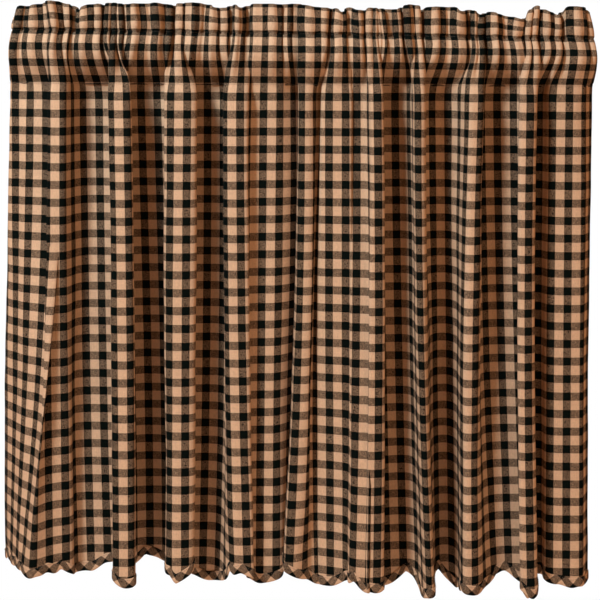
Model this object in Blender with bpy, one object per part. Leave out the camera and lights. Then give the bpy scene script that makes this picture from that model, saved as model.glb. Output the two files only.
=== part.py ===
"""Cafe curtain pair: two gathered cloth panels side by side on one rod line.

Each panel hangs in deep uneven folds from a heading, which is a header ruffle
above a rod pocket, and ends in a scalloped hem with a bias binding.
Metres, +Z up, +X to the viewer's right, the viewer at -Y. The origin is on the
rod line, halfway between the outer side edges.
"""

import math

import bmesh
import bpy
import numpy as np

# Cloth, as cut. One check repeat across the cloth is one inch.
REPEAT = 0.0254
CLOTH_WALL = 0.0014
HEADER_WALL = 0.0028
BINDING_WALL = 0.0022
PIECE_GAP = 0.0003
HEM_GAP = 0.0008

# Heights. Both seams run slightly down to the right, as the rod does.
HEADER_SEAM_Z = 0.0164
HEADER_SEAM_SLOPE = -0.0165
POCKET_SEAM_Z = -0.0593
POCKET_SEAM_SLOPE = -0.0055
CUSP_DROP = 0.742
SCALLOP_DEPTH = 0.030
SCALLOP_REPEATS = 6.0
TROUGH_LIFT = 0.005
FULL_DEPTH = 0.030
BINDING_WIDTH = 0.014

# The tunnel for the rod: half its depth, front to back, on its centre lines. The
# pocket's sides are given as (share of its height, share of that half depth).
TUNNEL_HALF_DEPTH = 0.022
TUNNEL_SHUT = 0.007
TUNNEL_ENDS = (0.20, 0.16)
POCKET_OUTSIDE = ((0.14, 0.80), (0.42, 1.00), (0.78, 0.92))
POCKET_INSIDE = ((0.16, 0.80), (0.42, 1.00), (0.78, 0.90))
SEAM_WALL_SHARE = 0.8
RUFFLE_MIDDLE = 0.55
RUFFLE_SWELL = 1.3
MERGE_DISTANCE = 0.00001

# How the folds grow out of the heading.
HEADING_SHARE = 0.20
FOLD_RUN = 0.120
FOLD_HEIGHTS = (-0.085, -0.385, -0.760)
HEADING_SLACK = 1.06
GATHER_DEPTH = 0.0055
SAMPLES = 24
STEPS_PER_SPAN = 5
BODY_ROWS = (0.0, 0.03, 0.075, 0.14, 0.30, 0.52, 0.76, 1.0)

COLUMNS = ("name", "repeat", "x_top", "x_middle", "x_hem", "depth", "turn", "reach", "header_top")

# One row for each fold line: where it is on the flat cloth in repeats, where it
# hangs at three heights, how far back it lies, the way the cloth runs there in
# degrees, how broad it is, and how high the header stands over it.
LEFT_FOLDS = (
    ("side edge", 0.00, -0.447, -0.458, -0.463, 0.030, -60, 0.8, 0.041),
    ("side plain", 2.35, -0.409, -0.417, -0.435, -0.010, 0, 1.0, 0.061),
    ("crest 1", 5.15, -0.360, -0.366, -0.386, -0.034, 0, 0.7, 0.067),
    ("trough 1", 8.75, -0.326, -0.325, -0.329, 0.022, 0, 1.3, 0.062),
    ("crest 2", 13.95, -0.268, -0.263, -0.259, -0.042, 0, 0.7, 0.064),
    ("trough 2", 18.65, -0.241, -0.232, -0.227, 0.026, 0, 1.3, 0.063),
    ("crest 3", 22.80, -0.182, -0.183, -0.182, -0.036, 0, 1.0, 0.064),
    ("trough 3", 27.50, -0.139, -0.139, -0.137, 0.026, 0, 1.2, 0.059),
    ("crest 4", 30.80, -0.103, -0.101, -0.093, -0.030, 0, 0.8, 0.062),
    ("centre plain", 33.80, -0.043, -0.046, -0.049, -0.006, 0, 1.0, 0.063),
    ("centre edge", 36.00, -0.0055, -0.0080, -0.022, 0.026, 50, 0.8, 0.062),
)
RIGHT_FOLDS = (
    ("centre edge", 0.00, -0.0035, -0.0085, -0.023, 0.004, -60, 0.8, 0.060),
    ("crest 5", 1.35, 0.014, 0.005, -0.008, -0.017, 0, 1.0, 0.059),
    ("trough 4", 3.20, 0.034, 0.019, 0.008, 0.020, 0, 0.6, 0.057),
    ("centre plain", 5.87, 0.069, 0.058, 0.041, -0.012, 0, 1.2, 0.055),
    ("crest 6", 7.75, 0.110, 0.112, 0.103, -0.034, 0, 0.7, 0.057),
    ("trough 5", 12.05, 0.153, 0.154, 0.153, 0.026, 0, 1.3, 0.058),
    ("crest 7", 14.95, 0.179, 0.182, 0.189, -0.034, 0, 0.7, 0.058),
    ("trough 6", 18.45, 0.220, 0.223, 0.228, 0.026, 0, 1.3, 0.058),
    ("crest 8", 21.40, 0.262, 0.254, 0.252, -0.036, 0, 0.8, 0.054),
    ("trough 7", 24.95, 0.308, 0.311, 0.312, 0.018, 0, 1.3, 0.048),
    ("crest 9", 28.70, 0.341, 0.338, 0.341, -0.042, 0, 0.7, 0.056),
    ("trough 8", 31.60, 0.364, 0.362, 0.363, 0.014, 0, 0.6, 0.058),
    ("side plain", 33.60, 0.405, 0.402, 0.400, -0.008, 0, 1.0, 0.055),
    ("side edge", 36.00, 0.454, 0.448, 0.443, 0.020, 50, 0.8, 0.047),
)

CHECK_COLOUR = (0.32, 0.24, 0.17, 1.0)
BINDING_COLOUR = (0.24, 0.18, 0.13, 1.0)
CLOTH_ROUGHNESS = 0.85


def clear_scene():
    """Remove every object that the file starts with."""
    for obj in list(bpy.data.objects):
        bpy.data.objects.remove(obj, do_unlink=True)


def cloth_material(name, colour):
    """A plain matt cloth finish."""
    material = bpy.data.materials.new(name)
    material.use_nodes = True
    shader = material.node_tree.nodes["Principled BSDF"]
    shader.inputs["Base Color"].default_value = colour
    shader.inputs["Roughness"].default_value = CLOTH_ROUGHNESS
    shader.inputs["Metallic"].default_value = 0.0
    return material


def fold_table(rows):
    """Turn a table of folds into one dictionary for each fold."""
    return [dict(zip(COLUMNS, row)) for row in rows]


def eased(value):
    """Smooth rise from 0 to 1."""
    value = min(max(value, 0.0), 1.0)
    return value * value * (3.0 - 2.0 * value)


def growth(z):
    """How much of the full fold depth is reached at a height."""
    return eased((POCKET_SEAM_Z - z) / FOLD_RUN)


def fold_point(fold, z):
    """Where a fold line passes through a height, seen from above."""
    top, middle, hem = FOLD_HEIGHTS
    level = min(z, top)
    x = (fold["x_top"] * (level - middle) * (level - hem) / ((top - middle) * (top - hem))
         + fold["x_middle"] * (level - top) * (level - hem) / ((middle - top) * (middle - hem))
         + fold["x_hem"] * (level - top) * (level - middle) / ((hem - top) * (hem - middle)))
    share = HEADING_SHARE + (1.0 - HEADING_SHARE) * growth(z)
    return np.array((x, fold["depth"] * share))


def heading_of(fold, z):
    """The way the cloth runs at a fold line, as a unit vector."""
    angle = math.radians(fold["turn"]) * (0.4 + 0.6 * growth(z))
    return np.array((math.cos(angle), math.sin(angle)))


def length_of(points):
    """Length of a line of points."""
    return float(np.sum(np.hypot(*np.diff(points, axis=0).T)))


def span_curve(start, end, start_way, end_way, handle, reaches):
    """One cubic curve between two fold lines."""
    t = np.linspace(0.0, 1.0, SAMPLES + 1)[:, None]
    first = start + start_way * handle * reaches[0]
    second = end - end_way * handle * reaches[1]
    return ((1 - t) ** 3 * start + 3 * (1 - t) ** 2 * t * first
            + 3 * (1 - t) * t ** 2 * second + t ** 3 * end)


def solve(measure, target, low, high):
    """Find the value at which a growing measure meets its target."""
    if measure(low) >= target:
        return low
    for _ in range(22):
        middle = 0.5 * (low + high)
        if measure(middle) < target:
            low = middle
        else:
            high = middle
    return 0.5 * (low + high)


def span_points(fold, next_fold, z, steps):
    """Points along the cloth between two fold lines at one height."""
    start = fold_point(fold, z)
    end = fold_point(next_fold, z)
    ways = heading_of(fold, z), heading_of(next_fold, z)
    reaches = fold["reach"], next_fold["reach"]
    cloth = (next_fold["repeat"] - fold["repeat"]) * REPEAT
    chord = float(np.hypot(*(end - start)))
    natural = min(chord * HEADING_SLACK, cloth)
    target = natural + (cloth - natural) * growth(z)

    def curve(handle):
        return span_curve(start, end, ways[0], ways[1], handle, reaches)

    handle = solve(lambda h: length_of(curve(h)), target, 0.1 * chord, 3.0 * chord + 0.05)
    points = curve(handle)
    gather = GATHER_DEPTH * (1.0 - growth(z)) * min(1.0, max(0.0, cloth / chord - 1.0))
    t = np.linspace(0.0, 1.0, SAMPLES + 1)
    points[:, 1] += gather * np.sin(2.0 * math.pi * t)
    along = np.concatenate(((0.0,), np.cumsum(np.hypot(*np.diff(points, axis=0).T))))
    wanted = np.linspace(0.0, along[-1], steps + 1)[:-1]
    return [(float(np.interp(s, along, points[:, 0])), float(np.interp(s, along, points[:, 1])))
            for s in wanted]


def cloth_line(folds, z):
    """The whole width of the cloth at one height, seen from above."""
    line = []
    for fold, next_fold in zip(folds, folds[1:]):
        line.extend(span_points(fold, next_fold, z, STEPS_PER_SPAN))
    line.append(tuple(fold_point(folds[-1], z)))
    return line


def cloth_repeats(folds):
    """Where each point of a cloth line is on the flat cloth, in repeats."""
    repeats = []
    for fold, next_fold in zip(folds, folds[1:]):
        width = next_fold["repeat"] - fold["repeat"]
        repeats.extend(fold["repeat"] + width * i / STEPS_PER_SPAN for i in range(STEPS_PER_SPAN))
    repeats.append(folds[-1]["repeat"])
    return repeats


def header_tops(folds):
    """How high the header stands at each point of a cloth line."""
    known = [fold["repeat"] for fold in folds]
    tops = [fold["header_top"] for fold in folds]
    return [float(np.interp(r, known, tops)) for r in cloth_repeats(folds)]


def header_seam_z(x):
    """Height of the seam between the header and the pocket."""
    return HEADER_SEAM_Z + HEADER_SEAM_SLOPE * x


def pocket_seam_z(x):
    """Height of the pocket's lower seam."""
    return POCKET_SEAM_Z + POCKET_SEAM_SLOPE * x


def scallop_drop(repeat):
    """Cloth length from the pocket's lower seam to the hem's edge."""
    part = (repeat % SCALLOP_REPEATS) / SCALLOP_REPEATS
    return CUSP_DROP + SCALLOP_DEPTH * (1.0 - (2.0 * part - 1.0) ** 2)


def point_normals(line):
    """Unit vectors across a cloth line, pointing to its back."""
    points = np.array(line)
    ways = np.gradient(points, axis=0)
    ways /= np.hypot(ways[:, 0], ways[:, 1])[:, None]
    return np.column_stack((-ways[:, 1], ways[:, 0]))


def grid_piece(rows, closed=False):
    """A mesh grid whose points are moved to the given rows of places."""
    across = len(rows[0]) - 1
    down = len(rows) if closed else len(rows) - 1
    bm = bmesh.new()
    bmesh.ops.create_grid(bm, x_segments=across, y_segments=down, size=1.0)
    for vert in bm.verts:
        i = round((vert.co.x + 1.0) / 2.0 * across)
        j = round((vert.co.y + 1.0) / 2.0 * down) % len(rows)
        vert.co = rows[j][i]
    return bm


def finish_piece(name, bm, material):
    """Make an object of a mesh."""
    mesh = bpy.data.meshes.new(name)
    bm.to_mesh(mesh)
    bm.free()
    mesh.materials.append(material)
    obj = bpy.data.objects.new(name, mesh)
    bpy.context.scene.collection.objects.link(obj)
    return obj


def add_wall(obj, thickness):
    """Give a sheet its thickness, half to each side."""
    wall = obj.modifiers.new("Wall", "SOLIDIFY")
    wall.thickness = thickness
    wall.offset = 0.0
    wall.use_rim = True


def body_place(folds, share, drop_to, above=0.0):
    """One row of places at a share of the way from the pocket seam to the hem."""
    nominal = POCKET_SEAM_Z - share * CUSP_DROP
    places = []
    for (x, y), repeat in zip(cloth_line(folds, nominal), cloth_repeats(folds)):
        drop = share * (scallop_drop(repeat) - drop_to) + above
        lift = TROUGH_LIFT * growth(nominal) * min(max(y / FULL_DEPTH, -1.0), 1.0)
        places.append((x, y, pocket_seam_z(x) - drop + lift))
    return places


def make_panel(side, folds, material):
    """The hanging cloth from the pocket's lower seam to the binding."""
    rows = [body_place(folds, share, BINDING_WIDTH + HEM_GAP, PIECE_GAP if share == 0.0 else 0.0)
            for share in reversed(BODY_ROWS)]
    bm = grid_piece(rows)
    obj = finish_piece(side + "_panel", bm, material)
    add_wall(obj, CLOTH_WALL)


def make_binding(side, folds, material):
    """The bias binding along the scalloped hem."""
    rows = [body_place(folds, 1.0, drop_to) for drop_to in (0.0, BINDING_WIDTH)]
    bm = grid_piece(rows)
    obj = finish_piece(side + "_binding", bm, material)
    add_wall(obj, BINDING_WALL)


def ring_row(line, normals, heights, shift, push):
    """One row of places around the heading, shifted and pushed off its centre."""
    return [(x + n[0] * push, y + shift + n[1] * push, z)
            for (x, y), n, z in zip(line, normals, heights)]


def ring_rows(line, normals, profile):
    """The rows of a closed ring: up its front, then down its back."""
    front = [ring_row(line, normals, heights, -shift, -push) for heights, shift, push in profile]
    back = [ring_row(line, normals, heights, shift, push) for heights, shift, push in profile]
    return front + back[::-1]


def between(low, high, share):
    """Heights at a share of the way between two lists of heights."""
    return [a + (b - a) * share for a, b in zip(low, high)]


def outside_profile(pocket, header, tops):
    """The heading's outer side: heights, shift off the centre, push off the cloth."""
    half = HEADER_WALL / 2.0
    profile = [(pocket, 0.0, CLOTH_WALL * SEAM_WALL_SHARE)]
    for share, depth in POCKET_OUTSIDE:
        profile.append((between(pocket, header, share), TUNNEL_HALF_DEPTH * depth, CLOTH_WALL / 2.0))
    profile.append((header, 0.0, half))
    profile.append((between(header, tops, RUFFLE_MIDDLE), 0.0, half * RUFFLE_SWELL))
    profile.append((tops, 0.0, half))
    return profile


def inside_profile(pocket, header):
    """The tunnel's side of the pocket, shut just short of each seam."""
    low, high = TUNNEL_ENDS
    profile = [([z + TUNNEL_SHUT for z in pocket], TUNNEL_HALF_DEPTH * low, 0.0)]
    for share, depth in POCKET_INSIDE:
        profile.append((between(pocket, header, share), TUNNEL_HALF_DEPTH * depth, -CLOTH_WALL / 2.0))
    profile.append(([z - TUNNEL_SHUT for z in header], TUNNEL_HALF_DEPTH * high, 0.0))
    return profile


def close_ends(bm, middle):
    """Close the cloth between the outer ring and the tunnel at both side edges."""
    open_edges = [edge for edge in bm.edges if edge.is_boundary]
    sides = ([edge for edge in open_edges if edge.verts[0].co.x < middle],
             [edge for edge in open_edges if edge.verts[0].co.x >= middle])
    for edges in sides:
        bmesh.ops.triangle_fill(bm, use_beauty=True, edges=edges, normal=(1.0, 0.0, 0.0))


def make_heading(side, folds, material):
    """The header ruffle and the rod pocket, open from side to side."""
    line = cloth_line(folds, 0.0)
    normals = point_normals(line)
    header = [header_seam_z(x) for x, y in line]
    pocket = [pocket_seam_z(x) for x, y in line]
    bm = grid_piece(ring_rows(line, normals, outside_profile(pocket, header, header_tops(folds))), True)
    tunnel = grid_piece(ring_rows(line, normals, inside_profile(pocket, header)), True)
    spare = bpy.data.meshes.new("tunnel")
    tunnel.to_mesh(spare)
    tunnel.free()
    bm.from_mesh(spare)
    bpy.data.meshes.remove(spare)
    bmesh.ops.remove_doubles(bm, verts=bm.verts, dist=MERGE_DISTANCE)
    close_ends(bm, 0.5 * (line[0][0] + line[-1][0]))
    bmesh.ops.recalc_face_normals(bm, faces=bm.faces)
    finish_piece(side + "_heading", bm, material)


def main():
    """Build both panels."""
    clear_scene()
    check_cloth = cloth_material("check_cloth", CHECK_COLOUR)
    bias_binding = cloth_material("bias_binding", BINDING_COLOUR)
    for side, rows in (("left", LEFT_FOLDS), ("right", RIGHT_FOLDS)):
        folds = fold_table(rows)
        make_heading(side, folds, check_cloth)
        make_panel(side, folds, check_cloth)
        make_binding(side, folds, bias_binding)


main()
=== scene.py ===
"""Cafe curtain pair: the cloth, its bindings, its stitching and its finish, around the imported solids.

Metres, +Z up, +X to the viewer's right, the viewer at -Y.
"""

import math

import bmesh
import bpy
import numpy as np
from bpy.props import FloatProperty, FloatVectorProperty, IntProperty, PointerProperty
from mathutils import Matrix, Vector, noise


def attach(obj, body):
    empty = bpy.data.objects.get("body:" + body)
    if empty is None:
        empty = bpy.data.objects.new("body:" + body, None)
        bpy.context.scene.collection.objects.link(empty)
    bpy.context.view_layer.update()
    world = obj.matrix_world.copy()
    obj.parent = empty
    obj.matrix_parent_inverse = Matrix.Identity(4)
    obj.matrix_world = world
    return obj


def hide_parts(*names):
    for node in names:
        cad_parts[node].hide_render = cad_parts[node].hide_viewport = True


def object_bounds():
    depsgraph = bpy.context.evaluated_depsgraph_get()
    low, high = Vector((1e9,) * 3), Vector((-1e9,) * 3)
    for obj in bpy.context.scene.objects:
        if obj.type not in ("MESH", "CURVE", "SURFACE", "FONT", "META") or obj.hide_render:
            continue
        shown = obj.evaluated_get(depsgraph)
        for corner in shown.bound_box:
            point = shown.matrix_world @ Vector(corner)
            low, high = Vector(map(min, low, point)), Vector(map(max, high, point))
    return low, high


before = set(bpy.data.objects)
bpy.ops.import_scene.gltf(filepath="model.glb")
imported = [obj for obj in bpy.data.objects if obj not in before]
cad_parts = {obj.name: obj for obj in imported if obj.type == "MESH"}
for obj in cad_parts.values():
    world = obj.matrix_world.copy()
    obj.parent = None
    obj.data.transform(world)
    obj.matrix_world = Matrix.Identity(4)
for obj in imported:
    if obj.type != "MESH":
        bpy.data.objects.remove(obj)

bl_info = {
    "name": "Cafe Curtain Pair",
    "version": (1, 0, 0),
    "blender": (4, 5, 0),
    "location": "View3D > Sidebar > Curtain",
    "description": "Two gathered check panels with header ruffles and scalloped, bound hems",
    "category": "Object",
}

CAD_LOW, CAD_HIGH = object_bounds()

# Heights. Both seams run slightly down to the right, as the rod does.
HEADER_SEAM_Z = 0.0164
HEADER_SEAM_SLOPE = -0.0165
POCKET_SEAM_Z = -0.0593
POCKET_SEAM_SLOPE = -0.0055
CUSP_DROP = 0.742
SCALLOP_DEPTH = 0.030
SCALLOP_REPEATS = 6.0

# Cloth lengths up and over the heading.
POCKET_CLOTH = 0.0878
RUFFLE_CLOTH = 0.051
BACK_TUCK = 0.004
TUCK_PUSH = 0.0008

# The heading's section.
POCKET_HALF_DEPTH = 0.0205
POCKET_SKEW = 1.30
LAYER_GAP = 0.0011
RUFFLE_SWELL = 0.0032
TOP_ROUND = 0.0016
PUCKER = 0.0030
PUCKER_RUN = 0.011
SEAM_WAVE = 0.0027
RUFFLE_SPREAD = 0.30
SLOT_LEAST = 5.5
SLOT_DEEPEST = 15.0
SLOT_SLACK = 0.97

# How the small pleats of the heading run out into the main folds.
FOLD_START_Z = 0.012
FOLD_RUN = 0.098
HEADING_SHARE = 0.30
FOLD_HEIGHTS = (-0.085, -0.385, -0.760)
DEPTH_LIFT = 0.15
SAMPLES = 16
SHORT_HANDLE = 0.33
FLAT_HANDLE = 0.45
LONG_HANDLE = 4.0

# Rows of the sheet, from the back of the pocket over the top to the hem.
BACK_ROWS = 14
RUFFLE_ROWS = 12
ROUND_ROWS = 4
POCKET_ROWS = 20
RUN_ROWS = 24
BODY_ROWS = 60
RUN_SHARE = 0.17
HEM_TUCK = 0.0015

# Side hems, turned behind the cloth.
HEM_WIDTH = 0.012
HEM_STEPS = (1.0, 0.55, 0.12)
HEM_LAYER = 0.0012

# Stitches: how far they stand off the cloth, how far the binding's front stands off,
# and where the side hems' and the binding's stitches run, as shares of their widths.
STITCH_LIFT = 0.0006
STITCH_AHEAD = 0.0006
BINDING_FRONT = 0.0016
HEM_STITCH_AT = 0.82
BINDING_STITCH_AT = 0.86

COLUMNS = ("name", "repeat", "x_top", "x_middle", "x_hem", "depth", "hem_depth", "turn", "hem_turn",
           "reach")

# One row for each main fold line: where it is on the flat cloth in repeats, where
# it hangs at three heights, how far back it lies at the top and at the hem, the way
# the cloth runs there in degrees at the top and at the hem, and how broad it is.
LEFT_FOLDS = (
    ("side edge", 0.00, -0.4365, -0.4575, -0.4625, 0.022, 0.040, -110, -65, 0.8),
    ("side turn", 1.30, -0.4365, -0.4375, -0.4440, -0.002, 0.011, 0, -60, 0.8),
    ("side plain", 2.30, -0.4120, -0.4170, -0.4290, -0.008, -0.012, 0, -60, 1.0),
    ("side front", 3.30, -0.3870, -0.3900, -0.4140, -0.012, -0.032, 0, -60, 0.8),
    ("crest 1", 6.15, -0.3595, -0.3600, -0.3580, -0.034, -0.024, 0, 15, 0.7),
    ("trough 1", 8.75, -0.3265, -0.3210, -0.3110, 0.022, 0.006, 0, 0, 1.3),
    ("crest 2", 13.95, -0.268, -0.263, -0.260, -0.042, -0.044, 0, 0, 0.7),
    ("trough 2", 18.65, -0.239, -0.231, -0.226, 0.026, 0.034, 0, 0, 1.3),
    ("crest 3", 22.80, -0.182, -0.184, -0.185, -0.036, -0.040, 0, 0, 1.0),
    ("trough 3", 27.50, -0.139, -0.140, -0.146, 0.026, 0.026, 0, 0, 1.2),
    ("crest 4", 30.80, -0.103, -0.101, -0.093, -0.030, -0.030, 0, 0, 0.8),
    ("centre plain", 33.80, -0.043, -0.046, -0.049, -0.006, -0.006, 0, 0, 1.0),
    ("centre edge", 36.00, 0.0020, -0.0010, -0.0160, 0.026, 0.030, 50, 50, 0.8),
)
RIGHT_FOLDS = (
    ("centre edge", 0.00, -0.0035, -0.0085, -0.0235, 0.006, -0.008, -60, -60, 0.8),
    ("crest 5", 0.95, 0.0043, 0.0010, -0.0125, -0.016, -0.025, 0, 0, 1.4),
    ("trough 4", 2.55, 0.0315, 0.0195, 0.0195, 0.009, -0.002, 0, 0, 0.5),
    ("centre plain", 4.35, 0.057, 0.057, 0.0585, -0.010, -0.010, 0, -15, 1.2),
    ("dip", 6.15, 0.0945, 0.093, 0.086, -0.004, -0.040, 0, -10, 1.0),
    ("crest 6", 7.60, 0.110, 0.112, 0.109, -0.034, -0.042, 0, 0, 0.7),
    ("trough 5", 12.05, 0.153, 0.157, 0.165, 0.026, 0.022, 0, 0, 1.3),
    ("crest 7", 14.95, 0.179, 0.182, 0.194, -0.034, -0.040, 0, 0, 0.7),
    ("trough 6", 18.45, 0.220, 0.223, 0.228, 0.026, 0.040, 0, 0, 1.3),
    ("crest 8", 21.40, 0.262, 0.254, 0.252, -0.036, -0.038, 0, 0, 0.8),
    ("trough 7", 24.95, 0.308, 0.312, 0.323, 0.018, 0.008, 0, 0, 1.3),
    ("crest 9", 28.70, 0.341, 0.338, 0.341, -0.042, -0.042, 0, 0, 0.7),
    ("trough 8", 31.60, 0.364, 0.362, 0.363, 0.014, 0.014, 0, 0, 0.6),
    ("side plain", 33.60, 0.405, 0.402, 0.400, -0.008, -0.008, 0, 0, 1.0),
    ("side edge", 36.00, 0.454, 0.448, 0.446, 0.020, 0.020, 50, 50, 0.8),
)

HEM_COLUMNS = ("repeat", "lower")

# How many millimetres the hem hangs lower than the plain scallop.
LEFT_HEM = (
    (0.0, 4.0), (0.7, -14.0), (1.3, -21.0), (2.3, -32.0), (3.2, -36.0), (4.3, -28.0),
    (5.0, -23.0), (5.8, -8.0), (6.8, -9.0), (8.2, -19.0), (9.3, -34.0), (11.0, -34.0),
    (12.9, -17.0), (13.7, -13.0), (14.8, -19.0), (17.6, -3.0), (18.9, -13.0), (21.6, -38.0),
    (22.3, -30.0), (22.8, -13.0), (24.3, -13.0), (26.4, -9.0), (27.8, 4.0), (29.6, 6.0),
    (30.3, -8.0), (31.0, -21.0), (32.4, -19.0), (33.4, -8.0), (35.0, -7.0), (36.0, -4.0),
)
RIGHT_HEM = (
    (0.0, -12.0), (0.9, -16.0), (1.9, -15.0), (2.8, -6.0), (4.0, -3.0), (4.9, -7.0),
    (5.8, 1.0), (6.5, 6.0), (7.6, -6.0), (8.6, -13.0), (11.2, 17.0), (12.4, 13.0),
    (13.5, 14.0), (15.0, -3.0), (17.0, 6.0), (18.9, 27.0), (19.8, 9.0), (21.0, -9.0),
    (22.4, -1.0), (23.8, 12.0), (24.7, -5.0), (25.6, 1.0), (27.2, 6.0), (28.1, -12.0),
    (29.1, 10.0), (30.5, 2.0), (32.2, -14.0), (33.3, -10.0), (34.4, 1.0), (36.0, 24.0),
)

PLEAT_COLUMNS = ("repeat", "x", "depth", "lean", "top")

# One row for each small pleat line of a heading, in repeats and millimetres: where
# it is on the flat cloth, where it is on the rod, how far back it lies, how far it
# leans sideways at the top of the ruffle, and how high the ruffle stands there.
LEFT_PLEATS = (
    (0.0, -431.0, 13.0, 0.0, 46.0),
    (0.7, -441.5, 3.0, 4.0, 48.0),
    (1.3, -434.0, -4.0, 5.0, 60.0),
    (2.3, -417.0, -5.0, 2.0, 59.0),
    (3.3, -396.5, -6.0, -2.0, 62.0),
    (3.9, -385.0, -7.0, -4.0, 64.0),
    (4.5, -378.5, 7.0, -5.0, 66.0),
    (5.2, -380.0, -9.0, -6.0, 66.8),
    (6.3, -365.5, -9.0, -4.0, 66.0),
    (7.0, -354.5, -7.0, 0.0, 62.0),
    (7.6, -350.0, 5.0, 0.0, 60.0),
    (8.3, -338.3, -1.0, 0.0, 54.0),
    (9.3, -320.8, -6.0, 0.0, 61.5),
    (9.9, -308.5, -7.0, 0.0, 62.5),
    (10.6, -300.1, 8.0, 1.0, 61.0),
    (11.5, -294.0, -10.0, 2.0, 63.5),
    (12.4, -288.6, 7.0, 2.0, 64.5),
    (13.3, -282.4, -12.0, 0.0, 63.5),
    (14.2, -278.6, 7.0, -1.0, 63.0),
    (15.1, -273.5, -12.0, -2.0, 62.5),
    (16.1, -267.1, 8.0, -1.0, 62.5),
    (17.1, -262.0, -5.0, -2.0, 62.0),
    (18.3, -241.0, -3.0, -3.0, 63.0),
    (19.4, -219.5, -7.0, -2.0, 64.0),
    (20.3, -205.7, 6.0, -1.0, 63.0),
    (21.2, -199.5, -9.0, 0.0, 61.0),
    (22.0, -192.6, 7.0, 0.0, 60.5),
    (22.9, -185.0, -10.0, 1.0, 63.0),
    (24.3, -177.3, 14.0, 0.0, 60.5),
    (25.7, -169.6, -6.0, 0.0, 64.0),
    (26.5, -156.6, -7.0, 2.0, 63.5),
    (27.3, -139.7, -3.0, 2.0, 61.0),
    (28.1, -127.4, -7.0, 0.0, 56.5),
    (28.9, -116.7, -2.0, 0.0, 56.5),
    (29.7, -105.1, 9.0, 0.0, 60.0),
    (30.4, -98.2, -7.0, 0.0, 61.0),
    (31.0, -92.1, -8.0, 1.0, 56.5),
    (31.8, -80.1, 8.0, 0.0, 60.0),
    (32.6, -69.1, -6.0, 0.0, 62.5),
    (33.3, -51.4, -5.0, 0.0, 62.5),
    (34.3, -30.7, -7.0, -1.0, 61.5),
    (35.0, -20.7, -2.0, 0.0, 62.0),
    (35.5, -13.0, 2.0, 1.0, 63.0),
    (36.0, 1.0, 7.0, 1.0, 63.0),
)
RIGHT_PLEATS = (
    (0.0, -2.0, 2.0, 0.0, 61.0),
    (0.85, 3.8, -5.0, 0.0, 61.0),
    (1.85, 26.9, -6.0, -1.0, 57.5),
    (2.3, 37.5, -7.0, 1.0, 56.5),
    (3.2, 44.5, 12.0, 6.0, 56.0),
    (4.1, 53.5, -7.0, 2.0, 55.5),
    (4.6, 63.5, -7.0, 0.0, 50.0),
    (5.35, 75.5, 3.0, 0.0, 57.5),
    (6.1, 91.0, -8.0, -2.0, 53.0),
    (6.8, 99.5, 6.0, 0.0, 53.0),
    (7.4, 105.5, -7.0, 1.0, 56.5),
    (8.1, 115.5, -9.0, 0.0, 56.0),
    (8.75, 119.5, 6.0, -5.0, 55.5),
    (9.35, 122.5, -6.0, -6.0, 55.5),
    (9.95, 125.5, 7.0, -6.0, 55.0),
    (10.6, 128.5, -8.0, -5.0, 55.0),
    (11.2, 134.0, 1.0, -2.0, 54.5),
    (12.1, 151.0, -7.0, -3.0, 54.0),
    (13.0, 158.5, 12.0, -2.0, 57.5),
    (13.9, 165.0, -9.0, -2.0, 60.5),
    (14.5, 171.0, -5.0, -3.0, 61.5),
    (15.3, 181.1, -9.0, -2.0, 60.0),
    (16.15, 188.0, 11.0, -1.0, 54.0),
    (16.85, 196.5, -6.0, 0.0, 57.5),
    (17.85, 216.4, -3.0, 0.0, 58.0),
    (18.85, 236.4, -6.0, 0.0, 57.5),
    (19.4, 247.1, -8.0, -1.0, 51.0),
    (20.3, 261.0, 9.0, 0.0, 54.0),
    (21.1, 266.3, -9.0, 0.0, 52.0),
    (21.7, 274.0, -9.0, 2.0, 46.0),
    (22.9, 285.5, 13.0, 2.0, 49.0),
    (24.1, 292.4, -7.0, 0.0, 50.0),
    (24.85, 303.2, -6.0, -1.0, 47.0),
    (25.85, 324.7, -3.0, 0.0, 42.5),
    (26.6, 336.2, -7.0, 4.0, 38.5),
    (27.5, 343.1, 11.0, 4.0, 41.0),
    (28.5, 348.4, -9.0, 5.0, 54.0),
    (29.3, 357.7, -8.0, 4.0, 59.5),
    (30.2, 366.1, 12.0, 0.0, 55.0),
    (31.1, 373.8, -3.0, 0.0, 54.0),
    (31.85, 383.8, -6.0, 0.0, 50.0),
    (32.4, 394.5, -7.0, 0.0, 45.5),
    (33.1, 403.7, 7.0, -1.0, 50.0),
    (33.8, 413.0, -7.0, -2.0, 58.5),
    (34.8, 436.0, -6.0, -3.0, 57.5),
    (35.5, 446.7, -1.0, -6.0, 53.0),
    (36.0, 451.5, 8.0, -8.0, 40.0),
)
PLEAT_SPACING = 0.0032

# Where the dark bands lie: the side edge's place in a column repeat for each panel,
# and the pocket seam's place in a row repeat.
COLUMN_START = {"left": -0.30, "right": -0.85}
ROW_START = -0.754

# The weave: the half widths of the dark bands in repeats, the yarns' slubs and shades as
# (stretch along the yarn, scale, detail), the bands' fuzzy edges, how often a yarn slips
# over its neighbour, and how much darker the squares of two colours are: partly their mixed yarn colour,
# partly painted shade that the dark yarns throw on the tan ones.
COLUMN_BAND = 0.235
ROW_BAND = 0.230
SLUB = (9.0, 0.85, 2.0)
SHADE = (30.0, 0.37, 1.0)
FUZZ = 0.016
SLIP = 0.55
MIXED_DIM_AND_SHADE = 0.50

# The floor and the light that the white room throws back.
FLOOR_HALF = 1.15
FLOOR_DROP = 0.45
WHITE = (1.0, 1.0, 1.0, 1.0)
WARM_SURROUND = (1.0, 0.52, 0.28, 1.0)

LAMP_COLUMNS = ("name", "power", "share", "place", "aim", "size", "colour")

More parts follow.
